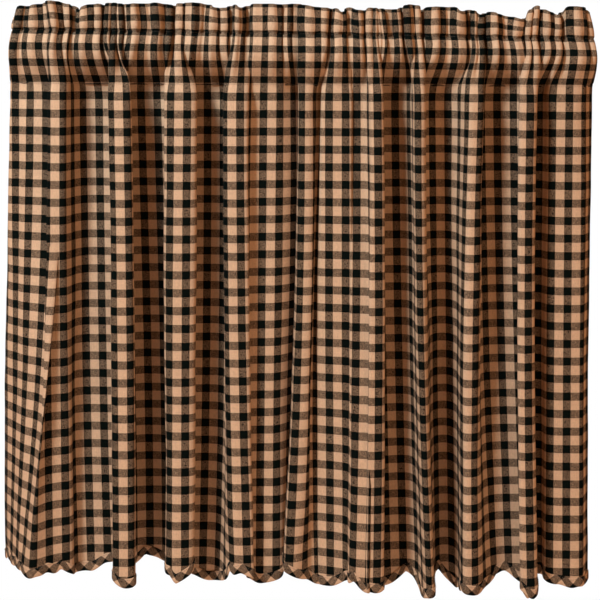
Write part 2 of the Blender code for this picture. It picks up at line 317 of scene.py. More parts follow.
# One row for each lamp: whose power it takes and how much of it, where it stands, what it
# is turned to, its width and height, and its colour.
LAMPS = (
    ("key", "key_power", 1.0, (-1.65, -2.1, 1.6), "middle", (0.45, 0.7), (0.93, 0.98, 1.12)),
    ("fill", "fill_power", 1.0, (1.6, -2.4, -0.2), "middle", (1.6, 1.6), (1.0, 0.80, 0.62)),
    ("top", "top_power", 1.0, (-0.95, -1.2, 1.0), "rod", (0.5, 0.5), (0.45, 1.0, 1.5)),
    ("low", "low_power", 1.0, (-0.2, -1.2, -1.6), "hem", (0.9, 0.4), (1.0, 0.42, 0.12)),
    ("back", "key_power", 0.3, (0.8, 2.4, 1.0), "middle", (1.6, 1.6), (1.0, 1.0, 1.0)),
)

# The binding's section, from its back over the hem's edge to its front: how far up the
# binding in shares of its width, and how far in front of the cloth in millimetres.
BINDING_PROFILE = (
    (1.00, -0.9), (0.94, -1.2), (0.55, -1.35), (0.20, -1.35), (0.04, -1.1), (-0.05, 0.0),
    (0.04, 1.1), (0.20, 1.35), (0.55, 1.35), (0.94, 1.2), (1.00, 0.9),
)


class CurtainSizes(bpy.types.PropertyGroup):
    """Sizes of the cloth and the sewing."""

    repeat: FloatProperty(
        name="Column repeat", description="Width of one dark and one tan column",
        default=0.0254, unit="LENGTH")
    row_repeat: FloatProperty(
        name="Row repeat", description="Height of one dark and one tan row",
        default=0.0268, unit="LENGTH")
    cloth_wall: FloatProperty(
        name="Cloth", description="Thickness of the cloth",
        default=0.0007, unit="LENGTH", precision=5)
    binding_width: FloatProperty(
        name="Binding", description="Width of the bias binding on each side of the hem",
        default=0.014, unit="LENGTH")
    binding_wall: FloatProperty(
        name="Binding cloth", description="Thickness of the binding's cloth",
        default=0.0006, unit="LENGTH", precision=5)
    stitch_pitch: FloatProperty(
        name="Stitch pitch", description="Distance from one stitch to the next",
        default=0.0034, unit="LENGTH", precision=5)
    stitch_length: FloatProperty(
        name="Stitch", description="Length of thread that shows in one stitch",
        default=0.0024, unit="LENGTH", precision=5)
    thread_width: FloatProperty(
        name="Thread", description="Thickness of the sewing thread",
        default=0.0006, unit="LENGTH", precision=5)
    threads: IntProperty(
        name="Threads", description="Yarns of the weave in one repeat",
        default=44, min=8, max=120)


class CurtainColours(bpy.types.PropertyGroup):
    """Colours of the yarns and the thread."""

    tan: FloatVectorProperty(
        name="Tan", description="Yarns of the tan columns and rows",
        default=(0.60, 0.357, 0.194), subtype="COLOR", size=3, min=0.0, max=1.0)
    dark: FloatVectorProperty(
        name="Dark", description="Yarns of the dark columns and rows",
        default=(0.0028, 0.0040, 0.0026), subtype="COLOR", size=3, min=0.0, max=1.0)
    thread: FloatVectorProperty(
        name="Thread", description="Sewing thread",
        default=(0.10, 0.075, 0.05), subtype="COLOR", size=3, min=0.0, max=1.0)


class CurtainStudio(bpy.types.PropertyGroup):
    """Light and camera."""

    key_power: FloatProperty(
        name="Key", description="Power of the large lamp at the left front", default=86.0)
    fill_power: FloatProperty(
        name="Fill", description="Power of the weak lamp at the right front", default=11.0)
    top_power: FloatProperty(
        name="Top", description="Power of the cool lamp near the heading", default=14.0)
    low_power: FloatProperty(
        name="Low", description="Power of the warm lamp in front of the hem", default=4.0)
    surround: FloatProperty(
        name="Surround", description="Light that the white room throws back", default=0.38)
    distance: FloatProperty(
        name="Distance", description="Camera to the curtain", default=1.67, unit="LENGTH")
    camera_z: FloatProperty(
        name="Camera height", description="Camera height from the rod line",
        default=-0.281, unit="LENGTH")
    lens: FloatProperty(
        name="Lens", description="Focal length in millimetres", default=65.3)
    shift: FloatProperty(
        name="Shift", description="Vertical lens shift", default=-0.12)


def sizes():
    """The scene's cloth sizes."""
    return bpy.context.scene.curtain_sizes


def colours():
    """The scene's cloth colours."""
    return bpy.context.scene.curtain_colours


def studio():
    """The scene's light and camera values."""
    return bpy.context.scene.curtain_studio


def table(columns, rows):
    """Turn a table into one dictionary for each row."""
    return [dict(zip(columns, row)) for row in rows]


def eased(value):
    """Smooth rise from 0 to 1."""
    value = np.clip(value, 0.0, 1.0)
    return value * value * (3.0 - 2.0 * value)


def growth(z):
    """How far the main folds have formed at a height."""
    return float(eased((FOLD_START_Z - z) / FOLD_RUN))


def header_seam_z(x):
    """Height of the seam between the ruffle and the pocket."""
    return HEADER_SEAM_Z + HEADER_SEAM_SLOPE * x


def pocket_seam_z(x):
    """Height of the pocket's lower seam."""
    return POCKET_SEAM_Z + POCKET_SEAM_SLOPE * x


def scallop_drop(repeat):
    """Cloth length from the pocket's lower seam to the hem's edge."""
    part = (repeat % SCALLOP_REPEATS) / SCALLOP_REPEATS
    return CUSP_DROP + SCALLOP_DEPTH * (1.0 - (2.0 * part - 1.0) ** 2)


def fold_point(fold, z):
    """Where a main fold line passes through a height, seen from above."""
    top, middle, hem = FOLD_HEIGHTS
    level = min(z, top)
    x = (fold["x_top"] * (level - middle) * (level - hem) / ((top - middle) * (top - hem))
         + fold["x_middle"] * (level - top) * (level - hem) / ((middle - top) * (middle - hem))
         + fold["x_hem"] * (level - top) * (level - middle) / ((hem - top) * (hem - middle)))
    share = HEADING_SHARE + (1.0 - HEADING_SHARE) * growth(z)
    return np.array((x, down(fold, "depth", z) * share))


def down(fold, name, z):
    """A fold's value at a height, between its values at the top and at the hem."""
    top, middle, hem = FOLD_HEIGHTS
    part = float(eased((top - z) / (top - hem)))
    return fold[name] + (fold["hem_" + name] - fold[name]) * part


def way(angle):
    """A unit vector at an angle, seen from above."""
    return np.array((math.cos(angle), math.sin(angle)))


def length_of(points):
    """Length of a line of points."""
    return float(np.sum(np.hypot(*np.diff(points, axis=0).T)))


def solve(measure, target, low, high):
    """Find the value at which a growing measure meets its target."""
    if measure(low) >= target:
        return low
    if measure(high) <= target:
        return high
    for _ in range(16):
        middle = 0.5 * (low + high)
        if measure(middle) < target:
            low = middle
        else:
            high = middle
    return 0.5 * (low + high)


T = np.linspace(0.0, 1.0, SAMPLES + 1)[:, None]
BUMP = np.sin(math.pi * T[:, 0]) ** 2


def cloth_curve(start, end, angles, reaches, cloth, longest, side=1.0):
    """A curve of a given length between two fold lines, and its points."""
    chord = float(np.hypot(*(end - start)))
    ways = way(angles[0]), way(angles[1])

    def curve(handle):
        first = start + ways[0] * handle * reaches[0]
        second = end - ways[1] * handle * reaches[1]
        return ((1 - T) ** 3 * start + 3 * (1 - T) ** 2 * T * first
                + 3 * (1 - T) * T ** 2 * second + T ** 3 * end)

    widest = curve(longest * chord)
    if length_of(widest) >= cloth:
        return curve(solve(lambda h: length_of(curve(h)), cloth, SHORT_HANDLE * chord, longest * chord))
    across = side * way(math.atan2(*(end - start)[::-1]) - math.pi / 2.0)

    def bulged(amount):
        return widest + across * (amount * BUMP)[:, None]

    return bulged(solve(lambda a: length_of(bulged(a)), cloth, 0.0, cloth))


def running(steps):
    """Running total of the steps, from 0."""
    return np.concatenate(((0.0,), np.cumsum(steps)))


def place_at(at, along, values):
    """Each column of the values, at a distance along their line."""
    return [np.interp(at, along, values[:, k]) for k in range(values.shape[1])]


def resample(points, shares):
    """Points at shares of a line's length."""
    along = running(np.hypot(*np.diff(points, axis=0).T))
    return np.column_stack(place_at(np.asarray(shares) * along[-1], along, points))


class Panel:
    """One panel's folds, pleats and sample columns."""

    def __init__(self, side, folds, pleats, hem):
        """Work out the columns of the sheet from the tables."""
        self.side = side
        self.folds = table(COLUMNS, folds)
        self.pleats = table(PLEAT_COLUMNS, pleats)
        self.repeat = sizes().repeat
        self.deepen()
        known = [pleat["repeat"] for pleat in self.pleats]
        repeats = []
        self.steps = []
        for low, high in zip(known, known[1:]):
            steps = max(3, round((high - low) * self.repeat / PLEAT_SPACING))
            self.steps.append(steps)
            repeats.extend(np.linspace(low, high, steps + 1)[:-1])
        repeats.append(known[-1])
        self.repeats = np.array(repeats)
        self.leans = self.spread("lean") * 0.001
        self.tops = self.spread("top") * 0.001
        lower = np.zeros(len(self.repeats))
        hem = table(HEM_COLUMNS, hem)
        for point, after in zip(hem, hem[1:]):
            part = eased((self.repeats - point["repeat"]) / (after["repeat"] - point["repeat"]))
            inside = (self.repeats >= point["repeat"]) & (self.repeats <= after["repeat"])
            value = point["lower"] + (after["lower"] - point["lower"]) * part
            lower = np.where(inside, value, lower)
        self.drops = scallop_drop(self.repeats) + lower * 0.001
        self.small = self.heading_line()
        self.plans = {}

    def deepen(self):
        """Let each slot between two pleats go as deep as its cloth allows, in millimetres."""
        for before, slot, after in zip(self.pleats, self.pleats[1:], self.pleats[2:]):
            if slot["depth"] < SLOT_LEAST:
                continue
            depths = [SLOT_DEEPEST]
            for near in (before, after):
                cloth = abs(near["repeat"] - slot["repeat"]) * self.repeat * 1000.0 * SLOT_SLACK
                across = near["x"] - slot["x"]
                depths.append(near["depth"] + math.sqrt(max(cloth ** 2 - across ** 2, 0.0)))
            slot["depth"] = max(slot["depth"], min(depths))

    def spread(self, name):
        """A pleat column's value at every sample, eased from pleat to pleat."""
        values = []
        for pleat, after, steps in zip(self.pleats, self.pleats[1:], self.steps):
            shares = eased(np.arange(steps) / steps)
            values.extend(pleat[name] + (after[name] - pleat[name]) * shares)
        values.append(self.pleats[-1][name])
        return np.array(values)

    def main_line(self, z):
        """The main folds alone at a height: repeats and their places, seen from above."""
        pieces = []
        repeats = []
        for fold, after in zip(self.folds, self.folds[1:]):
            share = 0.4 + 0.6 * growth(z)
            angles = [math.radians(down(each, "turn", z)) * share for each in (fold, after)]
            reaches = fold["reach"], after["reach"]
            cloth = (after["repeat"] - fold["repeat"]) * self.repeat
            points = cloth_curve(fold_point(fold, z), fold_point(after, z), angles, reaches,
                                 cloth, LONG_HANDLE)
            shares = np.linspace(0.0, 1.0, 25)
            pieces.append(resample(points, shares)[:-1])
            repeats.extend(fold["repeat"] + (after["repeat"] - fold["repeat"]) * shares[:-1])
        pieces.append(fold_point(self.folds[-1], z)[None, :])
        repeats.append(self.folds[-1]["repeat"])
        return np.array(repeats), np.vstack(pieces)

    def heading_line(self):
        """The heading's own small pleats: one place for each sample."""
        pieces = []
        for i, (pleat, after) in enumerate(zip(self.pleats, self.pleats[1:])):
            start, end = [np.array((each["x"], each["depth"])) * 0.001 for each in (pleat, after)]
            chord = float(np.hypot(*(end - start)))
            slope = abs(end[1] - start[1]) / max(chord, 1e-6)
            longest = FLAT_HANDLE + (LONG_HANDLE - FLAT_HANDLE) * float(eased((slope - 0.35) / 0.5))
            cloth = (after["repeat"] - pleat["repeat"]) * self.repeat
            side = 1.0 if i % 2 else -1.0
            points = cloth_curve(start, end, (0.0, 0.0), (1.0, 1.0), cloth, longest, side)
            pieces.append(resample(points, np.arange(self.steps[i]) / self.steps[i]))
        pieces.append(end[None, :])
        return np.vstack(pieces)

    def plan(self, z):
        """The cloth's line at a height, seen from above: one place for each sample."""
        key = round(max(min(z, FOLD_START_Z), -1.0), 5)
        if key not in self.plans:
            weight = growth(key)
            repeats, line = self.main_line(key)
            large = np.column_stack(place_at(self.repeats, repeats, line))
            self.plans[key] = self.small + (large - self.small) * weight
        return self.plans[key]


def normals_of(line):
    """Unit vectors across a cloth line, pointing to its back."""
    ways = np.gradient(line, axis=0)
    ways /= np.maximum(np.hypot(ways[:, 0], ways[:, 1]), 1e-9)[:, None]
    return np.column_stack((-ways[:, 1], ways[:, 0]))


def facing(normals):
    """How far the cloth faces the viewer: 1 on a crest, and little on the wall of a slot."""
    return 0.15 + 0.85 * np.abs(normals[:, 1])


def ripple(repeats, v, wide, high, seed):
    """Soft noise on the flat cloth, from -1 to 1 or so."""
    return np.array([noise.noise(Vector((r * wide, v * high, seed))) for r in repeats])


def lifted(x, y, z):
    """A row of places, with the cloth that lies further back a little higher."""
    return np.column_stack((x, y, z + DEPTH_LIFT * y))


class Row:
    """One row of the sheet: its places, its distance along the cloth and its push direction."""

    def __init__(self, places, v, normals):
        """Keep the row's values."""
        self.places = places
        self.v = v
        self.normals = normals

    def back(self):
        """Unit vectors to the cloth's back, level."""
        return np.column_stack((self.normals, np.zeros(len(self.normals))))


def body_row(panel, share, push=0.0, drop_to=0.0):
    """A row at a share of the way from the pocket's lower seam to the hem."""
    nominal = POCKET_SEAM_Z - share * CUSP_DROP
    line = panel.plan(nominal)
    normals = normals_of(line)
    drops = share * (panel.drops - drop_to)
    push = push + wrinkle(panel, drops)
    x = line[:, 0] + normals[:, 0] * push
    y = line[:, 1] + normals[:, 1] * push
    return Row(lifted(x, y, pocket_seam_z(line[:, 0]) - drops), drops, normals)


def wrinkle(panel, v):
    """Soft unevenness of the cloth, in metres across it."""
    level = float(np.mean(v))
    seam = math.exp(-max(level, 0.0) / 0.10)
    soft = ripple(panel.repeats, level, 0.35, 5.0, 3.0) * 0.0016
    drag = ripple(panel.repeats, level, 1.3, 9.0, 7.0) * 0.0016 * seam
    fine = ripple(panel.repeats, level, 0.9, 22.0, 11.0) * 0.0005
    return soft + drag + fine


def pucker(panel, from_seam):
    """Small gathers that the header seam pulls into the cloth."""
    near = math.exp(-from_seam / PUCKER_RUN)
    return ripple(panel.repeats, from_seam, 2.1, 14.0, 41.0) * PUCKER * near


def seam_wave(panel, from_seam):
    """How far the gathers push the rows up or down near the header seam."""
    near = math.exp(-from_seam / (2.0 * PUCKER_RUN))
    return ripple(panel.repeats, 0.0, 1.2, 1.0, 53.0) * SEAM_WAVE * near


def pocket_row(panel, share, front):
    """A row of the pocket, from its lower seam at 0 to the header seam at 1."""
    middle_low = pocket_seam_z(0.0)
    middle_high = header_seam_z(0.0)
    nominal = middle_low + (middle_high - middle_low) * share
    line = panel.plan(nominal)
    normals = normals_of(line)
    bulge = math.sin(math.pi * share ** POCKET_SKEW) ** 0.85 if 0.0 < share < 1.0 else 0.0
    shift = POCKET_HALF_DEPTH * bulge
    push = LAYER_GAP * (0.35 + 0.65 * float(eased(share * 3.0)))
    uneven = ripple(panel.repeats, nominal, 1.1, 30.0, 17.0) * 0.0011 * bulge
    from_seam = (1.0 - share) * (middle_high - middle_low)
    uneven = (uneven + pucker(panel, from_seam)) * facing(normals)
    side = -1.0 if front else 1.0
    x = line[:, 0] + normals[:, 0] * (side * push + uneven)
    y = line[:, 1] + side * shift + normals[:, 1] * (side * push + uneven)
    low = pocket_seam_z(line[:, 0])
    high = header_seam_z(line[:, 0])
    z = low + (high - low) * share + seam_wave(panel, from_seam)
    v = -POCKET_CLOTH * share
    if not front:
        v = -(POCKET_CLOTH + 2.0 * RUFFLE_CLOTH + POCKET_CLOTH * (1.0 - share))
    return Row(lifted(x, y, z), np.full(len(x), v), normals)


def ruffle_row(panel, share, front, turn=None):
    """A row of the ruffle, from the header seam at 0 to its top, or round the top."""
    line = panel.plan(FOLD_START_Z).copy()
    spread = share ** 1.3
    line[:, 0] += panel.leans * spread
    line[:, 1] *= 1.0 + RUFFLE_SPREAD * spread
    line[:, 1] += ripple(panel.repeats, share, 0.8, 1.4, 23.0) * 0.004 * spread
    normals = normals_of(line)
    seam = header_seam_z(line[:, 0])
    tops = panel.tops - TOP_ROUND
    from_seam = share * 0.044
    z = seam + (tops - seam) * share + seam_wave(panel, from_seam)
    swell = RUFFLE_SWELL * math.sin(math.pi * min(share, 1.0) ** 0.55)
    push = LAYER_GAP + (TOP_ROUND - LAYER_GAP) * share + swell * facing(normals)
    v = -(POCKET_CLOTH + RUFFLE_CLOTH * share)
    side = -1.0 if front else 1.0
    if turn is not None:
        push = TOP_ROUND * math.cos(turn)
        z = tops + TOP_ROUND * math.sin(turn)
        side = 1.0
        v = -(POCKET_CLOTH + RUFFLE_CLOTH)
    elif not front:
        v = -(POCKET_CLOTH + RUFFLE_CLOTH + RUFFLE_CLOTH * (1.0 - share))
    push = side * push + pucker(panel, from_seam) * facing(normals)
    x = line[:, 0] + normals[:, 0] * push
    y = line[:, 1] + normals[:, 1] * push
    return Row(lifted(x, y, z), np.full(len(x), v), normals)


def sheet_rows(panel):
    """Every row of a panel's sheet, from the back of the pocket over the top to the hem."""
    rows = []
    tuck = pocket_row(panel, 0.0, False)
    tuck.places[:, 2] -= BACK_TUCK
    tuck.places[:, :2] += tuck.normals * TUCK_PUSH
    tuck.v = tuck.v - BACK_TUCK
    rows.append(tuck)
    rows.extend(pocket_row(panel, i / BACK_ROWS, False) for i in range(BACK_ROWS))
    rows.extend(ruffle_row(panel, i / RUFFLE_ROWS, False) for i in range(RUFFLE_ROWS))
    for i in range(ROUND_ROWS + 1):
        rows.append(ruffle_row(panel, 1.0, True, math.pi * i / ROUND_ROWS))
    rows.extend(ruffle_row(panel, i / RUFFLE_ROWS, True) for i in range(RUFFLE_ROWS - 1, -1, -1))
    rows.extend(pocket_row(panel, i / POCKET_ROWS, True) for i in range(POCKET_ROWS - 1, 0, -1))
    rows.extend(body_rows(panel))
    return rows


def body_rows(panel):
    """The rows from the pocket's lower seam down to the hem."""
    rows = [body_row(panel, RUN_SHARE * i / RUN_ROWS) for i in range(RUN_ROWS)]
    for i in range(BODY_ROWS + 1):
        share = RUN_SHARE + (1.0 - RUN_SHARE) * i / BODY_ROWS
        rows.append(body_row(panel, share, drop_to=HEM_TUCK))
    return rows


def with_hems(panel, row):
    """A row's places and flat places with both side hems turned behind the cloth."""
    places = row.places
    u = panel.repeats * panel.repeat
    v = np.broadcast_to(row.v, u.shape)
    behind = places + row.back() * HEM_LAYER
    left = []
    right = []
    for part in HEM_STEPS:
        into = HEM_WIDTH * part
        left.append((place_at(into, u, behind), -into, float(v[0])))
        right.append((place_at(u[-1] - into, u, behind), u[-1] + into, float(v[-1])))
    return left + list(zip(places, u, v)) + right[::-1]


def grid_object(name, grid, flat, material):
    """An object of a grid of places, with the flat cloth's places as its UV map."""
    down, across = len(grid), len(grid[0])
    bm = bmesh.new()
    bmesh.ops.create_grid(bm, x_segments=across - 1, y_segments=down - 1, size=1.0)
    layer = bm.loops.layers.uv.new("UVMap")
    for vert in bm.verts:
        i = round((vert.co.x + 1.0) / 2.0 * (across - 1))
        j = down - 1 - round((vert.co.y + 1.0) / 2.0 * (down - 1))
        vert.co = grid[j][i]
        for loop in vert.link_loops:
            loop[layer].uv = flat[j][i]
    for face in bm.faces:
        face.smooth = True
    return finish_mesh(name, bm, material)


def finish_mesh(name, bm, material):
    """Make an object of a mesh and link it."""
    mesh = bpy.data.meshes.new(name)
    bm.to_mesh(mesh)
    bm.free()
    mesh.materials.append(material)
    obj = bpy.data.objects.new(name, mesh)
    bpy.context.scene.collection.objects.link(obj)
    return obj


def add_wall(obj, thickness):
    """Give a sheet its thickness, half to each side."""
    wall = obj.modifiers.new("Wall", "SOLIDIFY")
    wall.thickness = thickness
    wall.offset = 0.0
    wall.use_rim = True


def make_sheet(panel):
    """One panel's cloth, from the back of its pocket over the ruffle to the hem."""
    grid = []
    flat = []
    start = COLUMN_START[panel.side]
    for row in sheet_rows(panel):
        columns = with_hems(panel, row)
        grid.append([place for place, u, v in columns])
        flat.append([(u / panel.repeat + start, v / sizes().row_repeat + ROW_START)
                     for place, u, v in columns])
    obj = grid_object(panel.side + "_curtain", grid, flat, check_material("check_cotton"))
    add_wall(obj, sizes().cloth_wall)
    return obj


def make_binding(panel):
    """The bias binding, folded around a panel's scalloped hem."""
    width = sizes().binding_width
    edge = body_row(panel, 1.0).places
    lengths = running(np.hypot(np.diff(panel.repeats) * panel.repeat, np.diff(panel.drops)))
    puff = 1.0 + 0.25 * ripple(panel.repeats, 0.0, 1.7, 1.0, 31.0)
    grid = []
    flat = []
    across = 0.0
    for drop, push in BINDING_PROFILE:
        row = body_row(panel, 1.0, push * 0.001 * puff, drop * width)
        grid.append(row.places)
        side = 1.0 if push <= 0.0 else -1.0
        across = side * drop * width
        flat.append([((s + across) / panel.repeat * 0.7071 + 0.2,
                      (s - across) / panel.repeat * 0.7071 + 0.1) for s in lengths])
    grid = grid[::-1]
    flat = flat[::-1]
    obj = grid_object(panel.side + "_hem_binding", grid, flat, check_material("bias_cotton"))
    add_wall(obj, sizes().binding_wall)
    return obj


def seam_path(panel, name):
    """Places along a seam on the cloth's front, and its outward directions."""
    if name == "header":
        row = ruffle_row(panel, 0.0, True)
        row.places[:, 2] += STITCH_LIFT
    elif name == "pocket":
        row = body_row(panel, 0.002, -STITCH_LIFT)
    else:
        width = sizes().binding_width
        row = body_row(panel, 1.0, -BINDING_FRONT, width * BINDING_STITCH_AT)
    return row.places - row.back() * STITCH_LIFT, -row.back()


def hem_path(panel, at_start):
    """Places down a side hem on the cloth's front, and its outward directions."""
    u = panel.repeats * panel.repeat
    into = HEM_WIDTH * HEM_STITCH_AT
    at = into if at_start else u[-1] - into
    places = []
    fronts = []
    for row in body_rows(panel)[:-2]:
        places.append(place_at(at, u, row.places))
        fronts.append(place_at(at, u, -row.back()))
    places = np.array(places)
    fronts = np.array(fronts)
    return places + fronts * STITCH_LIFT, fronts


def one_stitch():
    """A small sphere that every stitch is shaped from."""
    bm = bmesh.new()
    bmesh.ops.create_uvsphere(bm, u_segments=6, v_segments=4, radius=0.5)
    mesh = bpy.data.meshes.new("one_stitch")
    bm.to_mesh(mesh)
    bm.free()
    return mesh


def add_stitches(bm, mesh, places, fronts):
    """A line of stitches along a path, each a short rounded length of thread."""
    shape = np.empty(len(mesh.vertices) * 3)
    mesh.vertices.foreach_get("co", shape)
    shape = shape.reshape(-1, 3)
    half = sizes().thread_width
    scale = np.array((half, half * 0.8, sizes().stitch_length))
    copy = mesh.copy()
    along = running(np.linalg.norm(np.diff(places, axis=0), axis=1))
    count = int(along[-1] / sizes().stitch_pitch)
    for i in range(count):
        s = (i + 0.5) * sizes().stitch_pitch
        centre = Vector(place_at(s, along, places))
        ahead = Vector(place_at(s + STITCH_AHEAD, along, places))
        front = Vector(place_at(s, along, fronts)).normalized()
        run = (ahead - centre).normalized()
        if run.length < 0.5:
            continue
        side = run.cross(front).normalized()
        front = side.cross(run)
        axes = np.array((side, front, run))
        copy.vertices.foreach_set("co", ((shape * scale) @ axes + np.array(centre)).ravel())
        bm.from_mesh(copy)
    bpy.data.meshes.remove(copy)


def make_stitching(panel):
    """All of a panel's stitches in one joined mesh."""
    bm = bmesh.new()
    mesh = one_stitch()
    for name in ("header", "pocket", "binding"):
        add_stitches(bm, mesh, *seam_path(panel, name))
    for at_start in (True, False):
        add_stitches(bm, mesh, *hem_path(panel, at_start))
    bpy.data.meshes.remove(mesh)
    for face in bm.faces:
        face.smooth = True
    return finish_mesh(panel.side + "_stitching", bm, thread_material())


def new_nodes(tree):
    """Small helpers that add nodes and links to a node tree."""
    def add(kind, **values):
        node = tree.nodes.new(kind)
        for key, value in values.items():
            setattr(node, key, value)
        return node

    def maths(operation, first, second=None, third=None):
        node = add("ShaderNodeMath", operation=operation)
        for i, value in enumerate((first, second, third)):
            if value is None:
                continue
            if isinstance(value, (int, float)):
                node.inputs[i].default_value = value
            else:
                tree.links.new(value, node.inputs[i])
        return node.outputs[0]

    return add, maths


def mix_colours(add, tree, factor, first, second, blend="MIX"):
    """A colour mix of two sockets or colours."""
    node = add("ShaderNodeMix", data_type="RGBA", blend_type=blend)
    for socket, value in ((node.inputs[0], factor), (node.inputs[6], first), (node.inputs[7], second)):
        if hasattr(value, "is_linked"):
            tree.links.new(value, socket)
        else:
            socket.default_value = value
    return node.outputs[2]


def check_weave_group():
    """Node group: a plain weave of two yarns in even checks, from UV in repeats."""
    found = bpy.data.node_groups.get("check_weave")
    if found:
        return found
    group = bpy.data.node_groups.new("check_weave", "ShaderNodeTree")
    face = group.interface
    face.new_socket("Vector", in_out="INPUT", socket_type="NodeSocketVector")
    for name, value in (("Tan", (*colours().tan, 1.0)), ("Dark", (*colours().dark, 1.0))):
        face.new_socket(name, in_out="INPUT", socket_type="NodeSocketColor").default_value = value
    numbers = (
        ("Threads", float(sizes().threads)),
        ("Column Band", COLUMN_BAND),
        ("Row Band", ROW_BAND),
        ("Wear", 0.5),
    )
    for name, value in numbers:
        face.new_socket(name, in_out="INPUT", socket_type="NodeSocketFloat").default_value = value
    face.new_socket("Color", in_out="OUTPUT", socket_type="NodeSocketColor")
    face.new_socket("Height", in_out="OUTPUT", socket_type="NodeSocketFloat")
    face.new_socket("Roughness", in_out="OUTPUT", socket_type="NodeSocketFloat")
    add, maths = new_nodes(group)
    links = group.links
    given = add("NodeGroupInput")
    out = add("NodeGroupOutput")
    split = add("ShaderNodeSeparateXYZ")
    links.new(given.outputs["Vector"], split.inputs[0])
    u, v = split.outputs[0], split.outputs[1]
    threads = given.outputs["Threads"]
    warp_at = maths("MULTIPLY", u, threads)
    weft_at = maths("MULTIPLY", v, threads)

    def yarn_noise(across, along, stretch, scale, detail):
        place = add("ShaderNodeCombineXYZ")
        links.new(maths("MULTIPLY", across, scale), place.inputs[0])
        links.new(maths("MULTIPLY", along, scale / stretch), place.inputs[1])
        texture = add("ShaderNodeTexNoise", noise_dimensions="2D")
        texture.inputs["Scale"].default_value = 1.0
        texture.inputs["Detail"].default_value = detail
        links.new(place.outputs[0], texture.inputs["Vector"])
        return texture.outputs["Fac"]

    warp_slub = yarn_noise(warp_at, weft_at, *SLUB)
    weft_slub = yarn_noise(weft_at, warp_at, *SLUB)
    warp_shade = yarn_noise(warp_at, weft_at, *SHADE)
    weft_shade = yarn_noise(weft_at, warp_at, *SHADE)

    warp_far = maths("PINGPONG", u, 0.5)
    weft_far = maths("PINGPONG", v, 0.5)
    fuzz_u = maths("MULTIPLY_ADD", weft_slub, FUZZ, -FUZZ / 2.0)
    fuzz_v = maths("MULTIPLY_ADD", warp_slub, FUZZ, -FUZZ / 2.0)
    warp_dark = maths("LESS_THAN", maths("ADD", warp_far, fuzz_u), given.outputs["Column Band"])
    weft_dark = maths("LESS_THAN", maths("ADD", weft_far, fuzz_v), given.outputs["Row Band"])

    checker = add("ShaderNodeTexChecker")
    checker.inputs["Scale"].default_value = 1.0
    cell = add("ShaderNodeCombineXYZ")
    links.new(maths("ADD", warp_at, 0.013), cell.inputs[0])
    links.new(maths("ADD", weft_at, 0.017), cell.inputs[1])
    cell.inputs[2].default_value = 0.5
    links.new(cell.outputs[0], checker.inputs["Vector"])
    over = checker.outputs["Fac"]
    slip = maths("MULTIPLY", maths("SUBTRACT", warp_slub, weft_slub), SLIP)
    show_warp = maths("GREATER_THAN", maths("ADD", maths("MULTIPLY_ADD", over, 0.30, -0.09), slip), 0.0)

    def dimmed(colour, value):
        grey = add("ShaderNodeCombineColor")
        for i in range(3):
            links.new(value, grey.inputs[i])
        return mix_colours(add, group, 1.0, colour, grey.outputs[0], "MULTIPLY")

    def yarn_colour(is_dark, slub, shade):
        base = mix_colours(add, group, is_dark, given.outputs["Tan"], given.outputs["Dark"])
        light = maths("MULTIPLY_ADD", slub, 0.7, 0.65)
        light = maths("MULTIPLY", light, maths("MULTIPLY_ADD", shade, 0.30, 0.85))
        return dimmed(base, light)

    warp_colour = yarn_colour(warp_dark, warp_slub, warp_shade)
    weft_colour = yarn_colour(weft_dark, weft_slub, weft_shade)
    woven = mix_colours(add, group, show_warp, weft_colour, warp_colour)
    mixed = maths("ABSOLUTE", maths("SUBTRACT", warp_dark, weft_dark))
    # Squares of two colours made darker: partly their mixed yarn colour, partly painted shade of the dark
    # yarns on the tan ones.
    woven = dimmed(woven, maths("SUBTRACT", 1.0, maths("MULTIPLY", mixed, MIXED_DIM_AND_SHADE)))

    def round_yarn(at):
        return maths("SINE", maths("MULTIPLY", maths("PINGPONG", at, 1.0), math.pi))

    warp_height = maths("MULTIPLY", round_yarn(warp_at), maths("MULTIPLY_ADD", show_warp, 0.6, 0.4))
    weft_height = maths("MULTIPLY", round_yarn(weft_at), maths("MULTIPLY_ADD", show_warp, -0.6, 1.0))
    height = maths("MAXIMUM", warp_height, weft_height)
    height = maths("ADD", height, maths("MULTIPLY", slip, given.outputs["Wear"]))
    links.new(woven, out.inputs["Color"])
    links.new(height, out.inputs["Height"])
    links.new(maths("MULTIPLY_ADD", warp_slub, -0.12, 0.95), out.inputs["Roughness"])
    return group


def check_material(name):
    """The check cloth's finish."""
    found = bpy.data.materials.get(name)
    if found:
        return found
    material = bpy.data.materials.new(name)
    material.use_nodes = True
    tree = material.node_tree
    shader = tree.nodes["Principled BSDF"]
    weave = tree.nodes.new("ShaderNodeGroup")
    weave.node_tree = check_weave_group()
    place = tree.nodes.new("ShaderNodeUVMap")
    place.uv_map = "UVMap"
    tree.links.new(place.outputs[0], weave.inputs["Vector"])
    tree.links.new(weave.outputs["Color"], shader.inputs["Base Color"])
    tree.links.new(weave.outputs["Roughness"], shader.inputs["Roughness"])
    bump = tree.nodes.new("ShaderNodeBump")
    bump.inputs["Strength"].default_value = 0.35
    bump.inputs["Distance"].default_value = 0.0003
    tree.links.new(weave.outputs["Height"], bump.inputs["Height"])
    tree.links.new(bump.outputs[0], shader.inputs["Normal"])
    shader.inputs["Specular IOR Level"].default_value = 0.02
    shader.inputs["Sheen Weight"].default_value = 0.004
    shader.inputs["Sheen Roughness"].default_value = 0.5
    return material


